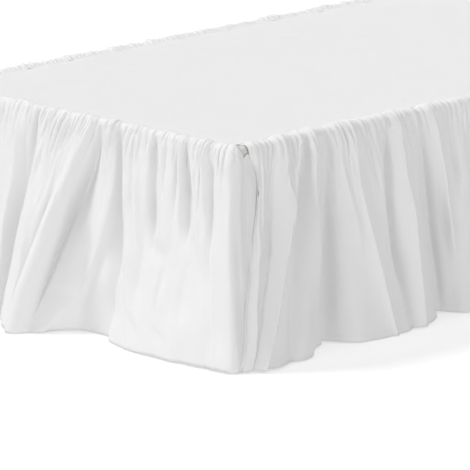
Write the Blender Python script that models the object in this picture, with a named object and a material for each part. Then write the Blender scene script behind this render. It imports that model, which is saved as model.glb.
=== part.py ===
"""Gathered bed skirt on a plain single bed base.

The skirt is a flat deck panel that lies on the base, and three gathered panels sewn to its
foot edge and its two long edges. Each gathered panel starts beside the deck, rolls over the
base edge and falls to the floor, where it flares out. The head end of the base stays bare.
Metres, +Z up. The foot end faces -Y and the head end +Y. The corner seen in front is at +X, -Y.
"""

import math
import bmesh
import bpy
import numpy as np

# Bed base
BASE_WIDTH = 0.90
BASE_LENGTH = 2.00
BASE_TOP = 0.44
BASE_THICKNESS = 0.24
BASE_EDGE_RADIUS = 0.012
LEG_RADIUS = 0.025
LEG_INSET = 0.085
LEG_FOOT_CHAMFER = 0.003
LEG_SIDES = 24

# Cloth
CLOTH = 0.002
TOUCH_GAP = 0.0003
EDGE_CLEARANCE = 0.002
FOOT_SEAM_INSET = 0.012
SIDE_SEAM_INSET = 0.024
HEAD_INSET = 0.006
HEM_HEIGHT = 0.0015
FAR_HEM_LIFT = 0.002
GUIDE_SOFTENING = 0.007
SOFTENING_STEPS = 4
COLUMN_PITCH_FOOT = 0.0092
COLUMN_PITCH_SIDE = 0.0132
ROLL_STEPS = 4
FALL_LEVELS = (0.10, 0.24, 0.42, 0.62, 0.82, 1.0)
PANEL_END_GAP = 0.012
PANEL_END_REACH = 0.085

# Past the end of its seam the foot panel is loose: its top edge sags as it turns the corner
LOOSE_FROM = 0.018
LOOSE_SAG = 1.1
LOOSE_SAG_MOST = 0.046
CORNER_ROWS = 7
CORNER_STRETCH = 0.12

# Where a line of the cloth leaves the seam and where it meets the floor, from the front corner:
# seam = distance along the seam, along = distance along the face at the hem, out = reach at the
# hem, lift = how far the hem hangs clear. A place less than zero lies round the corner.
FOOT_GUIDES = (
    # seam, along, out, lift
    (-0.060, -0.050, -0.012, 0.001),
    (-0.030, -0.074, 0.018, 0.001),
    (-0.012, -0.084, 0.050, 0.001),
    (0.006, -0.085, 0.078, 0.001),
    (0.020, -0.080, 0.097, 0.003),
    (0.036, -0.060, 0.101, 0.003),
    (0.060, -0.035, 0.104, 0.003),
    (0.105, -0.005, 0.106, 0.003),
    (0.135, 0.035, 0.110, 0.003),
    (0.205, 0.100, 0.112, 0.001),
    (0.225, 0.130, 0.112, 0.003),
    (0.280, 0.200, 0.110, 0.000),
    (0.315, 0.245, 0.100, 0.000),
    (0.340, 0.310, 0.080, 0.000),
    (0.360, 0.360, 0.064, 0.001),
    (0.385, 0.400, 0.068, 0.003),
    (0.405, 0.432, 0.115, 0.003),
    (0.430, 0.448, 0.160, 0.001),
    (0.455, 0.485, 0.182, 0.000),
    (0.520, 0.530, 0.165, 0.003),
    (0.570, 0.570, 0.125, 0.002),
    (0.610, 0.610, 0.095, 0.000),
    (0.650, 0.650, 0.100, 0.002),
)
SIDE_GUIDES = (
    # seam, along, out, lift
    (0.016, -0.100, 0.091, 0.002),
    (0.022, -0.090, 0.098, 0.002),
    (0.030, -0.078, 0.106, 0.003),
    (0.042, -0.066, 0.114, 0.003),
    (0.085, -0.040, 0.114, 0.004),
    (0.115, -0.020, 0.118, 0.004),
    (0.140, 0.000, 0.119, 0.004),
    (0.170, 0.045, 0.116, 0.003),
    (0.190, 0.085, 0.108, 0.002),
    (0.205, 0.118, 0.096, 0.002),
    (0.222, 0.160, 0.052, 0.004),
    (0.240, 0.215, 0.020, 0.004),
    (0.255, 0.238, 0.055, 0.003),
    (0.280, 0.270, 0.084, 0.001),
    (0.325, 0.345, 0.092, 0.000),
    (0.400, 0.405, 0.097, 0.002),
    (0.440, 0.445, 0.096, 0.003),
    (0.465, 0.487, 0.086, 0.004),
    (0.495, 0.528, 0.060, 0.004),
    (0.530, 0.567, 0.022, 0.004),
    (0.560, 0.590, 0.046, 0.002),
    (0.590, 0.612, 0.074, 0.001),
    (0.640, 0.650, 0.088, 0.001),
)
NEAR_ROWS_LEFT = 5

# The free upright edge of a side panel swings away from the corner below the seam, and comes
# back at the hem. The swing fades over its width along the seam.
SWING_WIDTH = 0.030
END_SWING = (
    # share of the fall, along
    (0.00, 0.006),
    (0.06, 0.034),
    (0.13, 0.045),
    (0.27, 0.039),
    (0.50, 0.029),
    (0.80, 0.026),
    (0.92, 0.022),
    (1.00, 0.000),
)

# Main folds: where each crosses the seam, half way down and the hem, its half width toward the
# front corner and away from it, then the swell (+) or hollow (-) of the cloth at the top, half
# way down and at the hem, and the share of the fall at which it runs out
FOOT_FOLDS = (
    # top, middle, hem, near, far, at top, half way, at hem, to
    (0.012, 0.026, 0.016, 0.010, 0.022, 0.008, 0.010, 0.004, 2.0),
    (0.064, 0.078, 0.078, 0.010, 0.010, -0.006, -0.007, 0.000, 0.45),
    (0.110, 0.100, 0.098, 0.012, 0.012, 0.005, 0.007, 0.001, 2.0),
    (0.133, 0.144, 0.144, 0.010, 0.012, -0.006, -0.010, 0.000, 0.55),
    (0.205, 0.202, 0.200, 0.014, 0.014, 0.004, 0.007, 0.001, 0.90),
    (0.228, 0.240, 0.230, 0.012, 0.014, -0.006, -0.014, 0.000, 0.60),
    (0.300, 0.295, 0.290, 0.018, 0.014, 0.004, 0.008, 0.001, 2.0),
    (0.336, 0.335, 0.350, 0.012, 0.013, -0.006, -0.024, -0.008, 2.0),
    (0.352, 0.370, 0.420, 0.011, 0.011, 0.004, 0.013, 0.006, 2.0),
    (0.394, 0.399, 0.430, 0.013, 0.013, -0.006, -0.032, -0.014, 2.0),
    (0.440, 0.450, 0.466, 0.026, 0.012, 0.003, 0.020, 0.006, 2.0),
    (0.478, 0.482, 0.490, 0.012, 0.012, -0.004, -0.008, 0.000, 2.0),
    (0.565, 0.525, 0.490, 0.012, 0.012, 0.004, 0.011, 0.003, 0.90),
    (0.582, 0.598, 0.610, 0.014, 0.014, -0.006, -0.020, -0.010, 2.0),
    (0.636, 0.624, 0.630, 0.014, 0.016, 0.006, 0.014, 0.008, 2.0),
)
SIDE_FOLDS = (
    # top, middle, hem, near, far, at top, half way, at hem, to
    (0.020, 0.022, 0.018, 0.012, 0.014, 0.006, 0.007, 0.001, 2.0),
    (0.093, 0.074, 0.030, 0.014, 0.014, -0.004, -0.016, -0.010, 2.0),
    (0.150, 0.140, 0.080, 0.016, 0.014, 0.004, 0.014, 0.005, 2.0),
    (0.190, 0.170, 0.160, 0.012, 0.013, -0.006, -0.017, -0.003, 2.0),
    (0.205, 0.222, 0.230, 0.014, 0.011, 0.006, 0.018, 0.004, 2.0),
    (0.258, 0.242, 0.246, 0.014, 0.014, -0.006, -0.012, 0.000, 2.0),
    (0.320, 0.322, 0.358, 0.016, 0.013, 0.004, 0.013, 0.004, 2.0),
    (0.372, 0.385, 0.390, 0.012, 0.012, -0.004, -0.005, 0.000, 0.40),
    (0.436, 0.408, 0.428, 0.014, 0.013, -0.007, -0.020, -0.006, 2.0),
    (0.456, 0.446, 0.452, 0.013, 0.012, 0.006, 0.015, 0.005, 2.0),
    (0.532, 0.536, 0.540, 0.013, 0.013, -0.006, -0.014, -0.004, 2.0),
    (0.568, 0.580, 0.584, 0.013, 0.013, 0.006, 0.012, 0.004, 0.70),
    (0.622, 0.620, 0.622, 0.013, 0.013, -0.005, -0.006, 0.000, 0.40),
)
FOLD_FADE = 0.12
FOLD_TO_HEM = 2.0

# Cloth out of view: folds as wide and as deep as those in view, at uneven places
FAR_FOLD_PITCH = (0.050, 0.105)
FAR_CREST_REACH = (0.085, 0.122)
FAR_HOLLOW_REACH = (0.040, 0.080)
FAR_FOLD_DEPTH = (0.007, 0.015)
FAR_FOLD_WIDTH = (0.012, 0.020)
FAR_TOP_SHARE = 0.3
FAR_HEM_SHARE = 0.4

WHITE_COTTON = (0.86, 0.86, 0.86, 1.0)
BASE_FABRIC = (0.62, 0.61, 0.59, 1.0)
LEG_WOOD = (0.44, 0.30, 0.18, 1.0)


def clear_scene():
    """Remove every object that the file starts with."""
    for item in list(bpy.data.objects):
        bpy.data.objects.remove(item, do_unlink=True)


def make_material(name, colour, roughness):
    """A plain Principled finish."""
    material = bpy.data.materials.new(name)
    material.use_nodes = True
    shader = material.node_tree.nodes["Principled BSDF"]
    shader.inputs["Base Color"].default_value = colour
    shader.inputs["Roughness"].default_value = roughness
    shader.inputs["Metallic"].default_value = 0.0
    return material


def add_object(name, mesh, material):
    """Put one mesh into the scene as one named piece."""
    piece = bpy.data.objects.new(name, mesh)
    bpy.context.scene.collection.objects.link(piece)
    mesh.materials.append(material)
    return piece


def make_box(name, size, centre, radius, segments, material):
    """A box with all its edges rounded to one radius."""
    mesh = bpy.data.meshes.new(name)
    cells = bmesh.new()
    bmesh.ops.create_cube(cells, size=1.0)
    bmesh.ops.scale(cells, vec=size, verts=cells.verts)
    bmesh.ops.translate(cells, vec=centre, verts=cells.verts)
    cells.to_mesh(mesh)
    cells.free()
    piece = add_object(name, mesh, material)
    if radius > 0.0:
        rounding = piece.modifiers.new("rounded edges", "BEVEL")
        rounding.width = radius
        rounding.segments = segments
        rounding.limit_method = "ANGLE"
    return piece


def make_leg(name, x, y, height, material):
    """A round wooden leg with a small chamfer at its foot."""
    mesh = bpy.data.meshes.new(name)
    cells = bmesh.new()
    bmesh.ops.create_cone(
        cells,
        cap_ends=True,
        segments=LEG_SIDES,
        radius1=LEG_RADIUS - LEG_FOOT_CHAMFER,
        radius2=LEG_RADIUS,
        depth=LEG_FOOT_CHAMFER,
    )
    bmesh.ops.translate(cells, vec=(0.0, 0.0, LEG_FOOT_CHAMFER / 2), verts=cells.verts)
    top = max(cells.faces, key=lambda face: face.calc_center_median().z)
    raised = bmesh.ops.extrude_face_region(cells, geom=[top])
    raised_points = [item for item in raised["geom"] if isinstance(item, bmesh.types.BMVert)]
    bmesh.ops.translate(cells, vec=(0.0, 0.0, height - LEG_FOOT_CHAMFER), verts=raised_points)
    bmesh.ops.delete(cells, geom=[top], context="FACES_ONLY")
    bmesh.ops.recalc_face_normals(cells, faces=cells.faces)
    bmesh.ops.translate(cells, vec=(x, y, 0.0), verts=cells.verts)
    cells.to_mesh(mesh)
    cells.free()
    return add_object(name, mesh, material)


def far_cloth(start, end, seed):
    """Guide and fold rows for a stretch that is out of view, with uneven pitch and depth."""
    draw = np.random.default_rng(seed)
    guides = []
    folds = []
    place = start
    crest = False
    while True:
        place += draw.uniform(*FAR_FOLD_PITCH)
        if place > end:
            break
        reach = draw.uniform(*(FAR_CREST_REACH if crest else FAR_HOLLOW_REACH))
        depth = draw.uniform(*FAR_FOLD_DEPTH) * (1 if crest else -1)
        width = draw.uniform(*FAR_FOLD_WIDTH)
        guides.append((place, place, reach, FAR_HEM_LIFT if crest else 0.0))
        depths = (FAR_TOP_SHARE * depth, depth, FAR_HEM_SHARE * depth)
        folds.append((place, place, place, width, width, *depths, FOLD_TO_HEM))
        crest = not crest
    return guides, folds


def mirrored_corner(guides, length, count):
    """The first guide rows again, turned round for the panel's other end."""
    rows = reversed(guides[:count])
    return [(length - seam, length - along, out, lift) for seam, along, out, lift in rows]


def read_guides(guides, places):
    """Hem position, reach and lift at each place: straight between the rows, then softened."""
    rows = np.array(guides)
    fine = np.arange(rows[0, 0], rows[-1, 0], GUIDE_SOFTENING / SOFTENING_STEPS)
    reach = 2 * SOFTENING_STEPS
    weights = np.exp(-((np.arange(-reach, reach + 1) / SOFTENING_STEPS) ** 2))
    weights /= weights.sum()
    read = []
    for column in (1, 2, 3):
        line = np.interp(fine, rows[:, 0], rows[:, column])
        start = 2 * line[0] - line[reach:0:-1]
        end = 2 * line[-1] - line[-2 : -2 - reach : -1]
        soft = np.convolve(np.concatenate([start, line, end]), weights, mode="valid")
        read.append(np.interp(places, fine, soft))
    return read


def three_point(share, top, middle, hem):
    """The parabola through the values at the top, half way down and at the hem."""
    at_top = top * (1 - 2 * share) * (1 - share)
    at_middle = 4 * middle * share * (1 - share)
    return at_top + at_middle + hem * share * (2 * share - 1)


def fade(share, start):
    """Smooth step from 0 to 1 over the fold fade that begins at start."""
    part = np.clip((share - start) / FOLD_FADE, 0.0, 1.0)
    return part * part * (3 - 2 * part)


def fold_swell(folds, seam, fall):
    """Sum over the folds of depth(fall) * exp(-((seam - place(fall)) / width)^2)."""
    swell = np.zeros((len(fall), len(seam)))
    for top, middle, hem, near, far, swell_top, swell_middle, swell_hem, end in folds:
        offset = seam[None, :] - three_point(fall, top, middle, hem)
        width = np.where(offset < 0.0, near, far)
        depth = three_point(fall, swell_top, swell_middle, swell_hem)
        depth = depth * fade(fall, 0.0) * (1 - fade(fall, end))
        swell += depth * np.exp(-((offset / width) ** 2))
    return swell


def edge_profile(run):
    """Reach and height after a run over the base edge: flat, round the edge, then straight down.

    The run starts where the edge's rounding starts, so a seam further in has a negative run.
    """
    hanging = BASE_EDGE_RADIUS + EDGE_CLEARANCE + CLOTH / 2
    lying = BASE_EDGE_RADIUS + TOUCH_GAP + CLOTH / 2
    quarter = hanging * math.pi / 2
    angle = np.clip(run / hanging, 0.0, math.pi / 2)
    radius = np.where(run <= 0.0, lying, hanging)
    out = radius * np.sin(angle) + np.minimum(run, 0.0)
    up = radius * np.cos(angle) - np.maximum(run - quarter, 0.0)
    return out, up


def turn_corner(seam, out):
    """Plan place of a point at a reach from the rounding's centre line, for each seam place.

    Past the start of the base's upright rounded edge the line turns about its centre, and then
    runs straight on along the next face.
    """
    turn = BASE_EDGE_RADIUS + EDGE_CLEARANCE + CLOTH / 2
    past = BASE_EDGE_RADIUS - seam
    angle = np.clip(past / turn, 0.0, math.pi / 2)
    beyond = np.maximum(past - turn * math.pi / 2, 0.0)
    along = np.maximum(seam, BASE_EDGE_RADIUS) - out * np.sin(angle)
    return along, out * np.cos(angle) - BASE_EDGE_RADIUS - beyond


def panel_grid(guides, folds, inset, pitch, turned_length=None):
    """Middle surface of a gathered panel, as arrays of (along, out, up), one row for each level.

    The first rows turn about the base's rounded edge. Below it each line of the cloth runs
    straight from the seam to its place at the hem, and the folds push it out or in at right
    angles to the panel's plan line. A panel with a turned_length turns both its corners, and one
    without it has a free front edge that swings.
    """
    first, last = guides[0][0], guides[-1][0]
    seam = np.linspace(first, last, int(round((last - first) / pitch)) + 1)
    along_hem, out_hem, lift = read_guides(guides, seam)
    from_end = seam if turned_length is None else np.minimum(seam, turned_length - seam)
    mirror = from_end < seam

    first_run = BASE_EDGE_RADIUS - inset
    last_run = (BASE_EDGE_RADIUS + EDGE_CLEARANCE + CLOTH / 2) * math.pi / 2
    loose = np.clip(LOOSE_SAG * (LOOSE_FROM - from_end), 0.0, LOOSE_SAG_MOST)
    sag = loose if turned_length else 0.0 * seam
    runs = [first_run, 0.0] if first_run < 0.0 else [0.0]
    runs += [last_run * step / (ROLL_STEPS - 1) for step in range(1, ROLL_STEPS)]
    run = np.array(runs)[:, None] + sag
    out_run, up_run = edge_profile(run)
    along_roll, out_roll = turn_corner(from_end, out_run)
    if turned_length:
        along_roll = np.where(mirror, turned_length - along_roll, along_roll)
    else:
        along_roll = np.broadcast_to(seam, out_run.shape)
        out_roll = out_run - BASE_EDGE_RADIUS
    centre_up = BASE_TOP - BASE_EDGE_RADIUS
    up_roll = centre_up + up_run

    fall = np.array(FALL_LEVELS)[:, None]
    hem_up = HEM_HEIGHT + lift
    along = along_roll[-1] + (along_hem - along_roll[-1]) * fall
    out = out_roll[-1] + (out_hem - out_roll[-1]) * fall
    up = up_roll[-1] + (hem_up - up_roll[-1]) * fall
    if not turned_length:
        swing = np.array(END_SWING)
        from_edge = np.exp(-(seam - seam[0]) / SWING_WIDTH)
        along = along + np.interp(fall, swing[:, 0], swing[:, 1]) * from_edge

    run_along = np.gradient(along, axis=1)
    run_out = np.gradient(out, axis=1)
    run_length = np.hypot(run_along, run_out)
    swell = fold_swell(folds, seam, fall)
    least_out = EDGE_CLEARANCE + CLOTH / 2
    swell = np.maximum(swell, np.minimum(least_out - out, 0.0))
    along = along - swell * run_out / run_length
    out = out + swell * run_along / run_length
    return np.stack(
        [np.vstack([along_roll, along]), np.vstack([out_roll, out]), np.vstack([up_roll, up])],
        axis=-1,
    )


def unit_steps(middle, axis):
    """Direction of the surface along one axis: the mean of the unit steps before and after."""
    step = np.diff(middle, axis=axis)
    step /= np.linalg.norm(step, axis=-1, keepdims=True)
    first = np.take(step, [0], axis=axis)
    last = np.take(step, [-1], axis=axis)
    before = np.concatenate([first, step], axis=axis)
    after = np.concatenate([step, last], axis=axis)
    return before + after


def sheet_mesh(name, middle, thickness):
    """A closed sheet: the middle surface moved half the thickness each way along its normals."""
    normal = np.cross(unit_steps(middle, 0), unit_steps(middle, 1))
    normal /= np.linalg.norm(normal, axis=-1, keepdims=True)
    rows, columns = middle.shape[:2]
    front = (middle + normal * thickness / 2).reshape(-1, 3)
    back = (middle - normal * thickness / 2).reshape(-1, 3)
    count = rows * columns
    index = np.arange(count).reshape(rows, columns)
    upper_left = index[:-1, :-1].ravel()
    lower_left = index[1:, :-1].ravel()
    lower_right = index[1:, 1:].ravel()
    upper_right = index[:-1, 1:].ravel()
    front_faces = np.stack([upper_left, lower_left, lower_right, upper_right], axis=1)
    back_faces = front_faces[:, ::-1] + count
    border = np.concatenate([index[:, 0], index[-1, 1:], index[-2::-1, -1], index[0, -2:0:-1]])
    following = np.roll(border, -1)
    edge_faces = np.stack([border, border + count, following + count, following], axis=1)
    faces = np.concatenate([front_faces, back_faces, edge_faces])
    mesh = bpy.data.meshes.new(name)
    mesh.from_pydata(np.concatenate([front, back]).tolist(), [], faces.tolist())
    cells = bmesh.new()
    cells.from_mesh(mesh)
    bmesh.ops.triangulate(cells, faces=cells.faces)
    bmesh.ops.recalc_face_normals(cells, faces=cells.faces)
    cells.to_mesh(mesh)
    cells.free()
    mesh.shade_smooth()
    return mesh


def place_panel(middle, corner, along_axis, out_axis):
    """Turn (along, out, up) into world places, from a corner of the base."""
    along_part = middle[..., 0:1] * np.array(along_axis)
    out_part = middle[..., 1:2] * np.array(out_axis)
    up_part = middle[..., 2:3] * np.array((0.0, 0.0, 1.0))
    return np.array(corner) + along_part + out_part + up_part


def make_foot_panel(material):
    """The gathered panel of the foot end, with a short flap round each corner."""
    far_guides, far_folds = far_cloth(FOOT_GUIDES[-1][0], BASE_WIDTH - CORNER_STRETCH, seed=11)
    corner_rows = mirrored_corner(FOOT_GUIDES, BASE_WIDTH, CORNER_ROWS)
    guides = list(FOOT_GUIDES) + far_guides + corner_rows
    folds = list(FOOT_FOLDS) + far_folds
    middle = panel_grid(guides, folds, FOOT_SEAM_INSET, COLUMN_PITCH_FOOT, BASE_WIDTH)
    corner = (BASE_WIDTH / 2, -BASE_LENGTH / 2, 0.0)
    placed = place_panel(middle, corner, (-1, 0, 0), (0, -1, 0))
    return add_object("foot_panel", sheet_mesh("foot_panel", placed, CLOTH), material)


def make_side_panel(name, side, guides, folds, material):
    """A gathered panel of a long side, from the foot corner to the head end."""
    middle = panel_grid(guides, folds, SIDE_SEAM_INSET, COLUMN_PITCH_SIDE)
    corner = (side * BASE_WIDTH / 2, -BASE_LENGTH / 2, 0.0)
    placed = place_panel(middle, corner, (0, 1, 0), (side, 0, 0))
    return add_object(name, sheet_mesh(name, placed, CLOTH), material)


def make_deck(material):
    """The flat panel on the base, which the gathered panels are sewn to."""
    side_edge = BASE_WIDTH / 2 - SIDE_SEAM_INSET - CLOTH / 2 - TOUCH_GAP
    foot_edge = -BASE_LENGTH / 2 + FOOT_SEAM_INSET + CLOTH / 2 + TOUCH_GAP
    head_edge = BASE_LENGTH / 2 - HEAD_INSET
    size = (2 * side_edge, head_edge - foot_edge, CLOTH)
    centre = (0.0, (head_edge + foot_edge) / 2, BASE_TOP + TOUCH_GAP + CLOTH / 2)
    return make_box("deck_panel", size, centre, 0.0, 1, material)


def make_base(material):
    """The plain upholstered box of the bed."""
    size = (BASE_WIDTH, BASE_LENGTH, BASE_THICKNESS)
    centre = (0.0, 0.0, BASE_TOP - BASE_THICKNESS / 2)
    return make_box("bed_base", size, centre, BASE_EDGE_RADIUS, 4, material)


def make_legs(material):
    """Four legs, a little in from the corners of the base."""
    height = BASE_TOP - BASE_THICKNESS - TOUCH_GAP
    legs = []
    for end_name, end in (("foot", -1), ("head", 1)):
        for side_name, side in (("left", -1), ("right", 1)):
            x = side * (BASE_WIDTH / 2 - LEG_INSET)
            y = end * (BASE_LENGTH / 2 - LEG_INSET)
            legs.append(make_leg(f"leg_{end_name}_{side_name}", x, y, height, material))
    return legs


def stand_on_origin(pieces):
    """Move every piece so that the middle of the whole lies over the origin."""
    bpy.context.view_layer.update()
    depsgraph = bpy.context.evaluated_depsgraph_get()
    lows = []
    highs = []
    for piece in pieces:
        shown = piece.evaluated_get(depsgraph).to_mesh()
        points = np.array([vertex.co[:] for vertex in shown.vertices])
        lows.append(points.min(axis=0))
        highs.append(points.max(axis=0))
    middle = (np.min(lows, axis=0) + np.max(highs, axis=0)) / 2
    for piece in pieces:
        for vertex in piece.data.vertices:
            vertex.co.x -= middle[0]
            vertex.co.y -= middle[1]


def build():
    """Make every piece of the skirt and of the base under it."""
    clear_scene()
    cotton = make_material("white cotton", WHITE_COTTON, 0.9)
    base_fabric = make_material("base fabric", BASE_FABRIC, 0.95)
    wood = make_material("leg wood", LEG_WOOD, 0.55)

    panel_end = BASE_LENGTH - PANEL_END_GAP
    last_fold = panel_end - FAR_FOLD_PITCH[0]
    far_guides, far_folds = far_cloth(SIDE_GUIDES[-1][0], last_fold, seed=23)
    end_guide = [(panel_end, panel_end, PANEL_END_REACH, FAR_HEM_LIFT)]
    right_guides = list(SIDE_GUIDES) + far_guides + end_guide
    right_folds = list(SIDE_FOLDS) + far_folds

    near_guides = list(SIDE_GUIDES[:NEAR_ROWS_LEFT])
    far_guides, far_folds = far_cloth(near_guides[-1][0], last_fold, seed=37)
    left_guides = near_guides + far_guides + end_guide
    left_folds = list(SIDE_FOLDS[:1]) + far_folds

    pieces = [
        make_base(base_fabric),
        make_deck(cotton),
        make_foot_panel(cotton),
        make_side_panel("right_side_panel", 1, right_guides, right_folds, cotton),
        make_side_panel("left_side_panel", -1, left_guides, left_folds, cotton),
    ]
    pieces += make_legs(wood)
    stand_on_origin(pieces)


build()
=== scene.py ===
import math

import bmesh
import bpy
import numpy as np
from mathutils import Matrix, Vector
from mathutils.bvhtree import BVHTree


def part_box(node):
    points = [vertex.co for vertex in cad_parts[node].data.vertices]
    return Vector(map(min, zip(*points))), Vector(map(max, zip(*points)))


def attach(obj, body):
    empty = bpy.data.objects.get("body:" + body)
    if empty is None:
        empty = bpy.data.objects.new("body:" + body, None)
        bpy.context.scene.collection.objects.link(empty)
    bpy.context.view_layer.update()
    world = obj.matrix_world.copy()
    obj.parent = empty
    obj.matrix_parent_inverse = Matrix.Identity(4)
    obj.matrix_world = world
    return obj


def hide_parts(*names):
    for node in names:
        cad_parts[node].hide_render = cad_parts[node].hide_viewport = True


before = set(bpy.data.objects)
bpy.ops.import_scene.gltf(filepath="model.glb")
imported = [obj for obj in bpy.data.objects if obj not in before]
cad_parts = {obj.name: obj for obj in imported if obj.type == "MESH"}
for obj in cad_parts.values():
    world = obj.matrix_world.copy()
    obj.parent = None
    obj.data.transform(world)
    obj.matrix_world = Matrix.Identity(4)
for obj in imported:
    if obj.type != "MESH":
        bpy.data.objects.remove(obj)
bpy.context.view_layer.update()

# Camera: a long lens that looks at the front corner of the bed from a little above, so that both
# faces run off at about the same slope. The corner of the deck lies where the photo shows it.
PHOTO_SIDE = 470
SENSOR_MM = 36.0
FOCAL_PIXELS = 6000.0
PIXELS_PER_METRE = 493.0
AZIMUTH = math.radians(45.0)
ELEVATION = math.radians(13.3)
CORNER_ACROSS, CORNER_DOWN = 237.5, 149.0
FAR_CLIP = 100.0
base_low, base_high = (np.array(corner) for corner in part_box("bed_base"))
front_corner = Vector((base_high[0], base_low[1], base_high[2]))


def make_camera():
    """Set the camera back from the corner along the line of sight, then sideways and up."""
    back = Vector((math.sin(AZIMUTH) * math.cos(ELEVATION),
                   -math.cos(AZIMUTH) * math.cos(ELEVATION), math.sin(ELEVATION)))
    right = Vector((math.cos(AZIMUTH), math.sin(AZIMUTH), 0.0))
    up = back.cross(right)
    distance = FOCAL_PIXELS / PIXELS_PER_METRE
    metre = 1.0 / PIXELS_PER_METRE
    data = bpy.data.cameras.new("camera")
    data.sensor_width = SENSOR_MM
    data.lens = FOCAL_PIXELS * SENSOR_MM / PHOTO_SIDE
    data.clip_end = FAR_CLIP
    camera = bpy.data.objects.new("camera", data)
    bpy.context.scene.collection.objects.link(camera)
    camera.location = (front_corner + back * distance
                       - right * (CORNER_ACROSS - PHOTO_SIDE / 2) * metre
                       - up * (PHOTO_SIDE / 2 - CORNER_DOWN) * metre)
    camera.rotation_euler = Matrix((right, up, back)).transposed().to_euler()
    bpy.context.scene.camera = camera


make_camera()

# Studio: a pale floor, an even white surround and four soft lights. The key rakes the foot face
# from the left, the low light rakes the long side from the foot end, the side light lifts that
# side, and the top light lifts the deck.
WHITE = (1.0, 1.0, 1.0, 1.0)
SURROUND_LIGHT = 0.28
LAMP_DISTANCE = 6.0
STUDIO_LIGHTS = (
    # name, direction it shines from, strength, spread in degrees
    ("key", (-0.52, -0.31, 0.80), 1.74, 12.0),
    ("low light", (0.15, -0.95, 0.28), 0.62, 16.0),
    ("side light", (0.82, -0.26, 0.50), 0.74, 30.0),
    ("top light", (0.0, 0.30, 0.95), 0.74, 40.0),
)
FLOOR_HALF = 40.0
FLOOR_FINISH = {"Base Color": (0.46, 0.46, 0.46, 1.0), "Roughness": 0.9,
                "Emission Color": WHITE, "Emission Strength": 0.52}


def add_soft_light(name, direction, strength, spread):
    """A far light that shines from one direction, as wide as its spread."""
    light = bpy.data.lights.new(name, "SUN")
    light.angle = math.radians(spread)
    light.energy = strength
    lamp = bpy.data.objects.new(name, light)
    bpy.context.scene.collection.objects.link(lamp)
    lamp.location = front_corner + LAMP_DISTANCE * Vector(direction)
    lamp.rotation_euler = Vector(direction).to_track_quat("Z", "Y").to_euler()


def set_inputs(node, values):
    """Set a node's own sockets from a table of socket names and values."""
    for socket, value in values.items():
        node.inputs[socket].default_value = value


def new_material(name, finish):
    """A material whose shader has the sockets of its finish set."""
    material = bpy.data.materials.new(name)
    material.use_nodes = True
    set_inputs(material.node_tree.nodes["Principled BSDF"], finish)
    return material


def make_studio():
    """World, lights and floor. The floor glows a little, so that it stays near white."""
    scene = bpy.context.scene
    scene.view_settings.view_transform = "Standard"
    world = bpy.data.worlds.new("surround")
    world.use_nodes = True
    set_inputs(world.node_tree.nodes["Background"], {"Color": WHITE, "Strength": SURROUND_LIGHT})
    scene.world = world
    for name, direction, strength, spread in STUDIO_LIGHTS:
        add_soft_light(name, direction, strength, spread)

    mesh = bpy.data.meshes.new("floor")
    corners = [(-FLOOR_HALF, -FLOOR_HALF, 0.0), (FLOOR_HALF, -FLOOR_HALF, 0.0),
               (FLOOR_HALF, FLOOR_HALF, 0.0), (-FLOOR_HALF, FLOOR_HALF, 0.0)]
    mesh.from_pydata(corners, [], [(0, 1, 2, 3)])
    mesh.materials.append(new_material("pale floor", FLOOR_FINISH))
    floor = bpy.data.objects.new("floor", mesh)
    scene.collection.objects.link(floor)


make_studio()

# Bed base: the plain upholstered box that the skirt falls over. It is a wooden frame under a light
# grey woven cover, pulled tight, with a piped seam round its lower edge.
BASE_EDGE_RADIUS = 0.012
BASE_EDGE_POINTS = 9
BASE_CORNER_POINTS = 7
BASE_SEAM_DEPTH = 0.0012
PIPING_RADIUS = 0.003
PIPING_HEIGHT = 0.018
PIPING_TURN = 0.45 * math.pi
PIPING_POINTS = 9
BASE_GREY = (0.72, 0.71, 0.69, 1.0)
BASE_THREAD = 0.0011
THREAD_WAVER = 1.4
SLUB_NOISE = {"Scale": 260.0, "Detail": 1.0}
COVER_FINISH = {"Roughness": 0.92, "Sheen Weight": 0.15}
COVER_BUMP = {"Strength": 0.6, "Distance": 0.0003}
COVER_DARKER = 0.88
FLECK_BY_WEAVE = 0.4
FLECK_BY_TONE = 0.6


def add_maths(tree, operation, first, second=None):
    """One Math node. Each input is a socket or a number."""
    node = tree.nodes.new("ShaderNodeMath")
    node.operation = operation
    for socket, value in zip(node.inputs, (first, second)):
        if isinstance(value, (int, float)):
            socket.default_value = value
        elif value is not None:
            tree.links.new(value, socket)
    return node.outputs[0]


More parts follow.
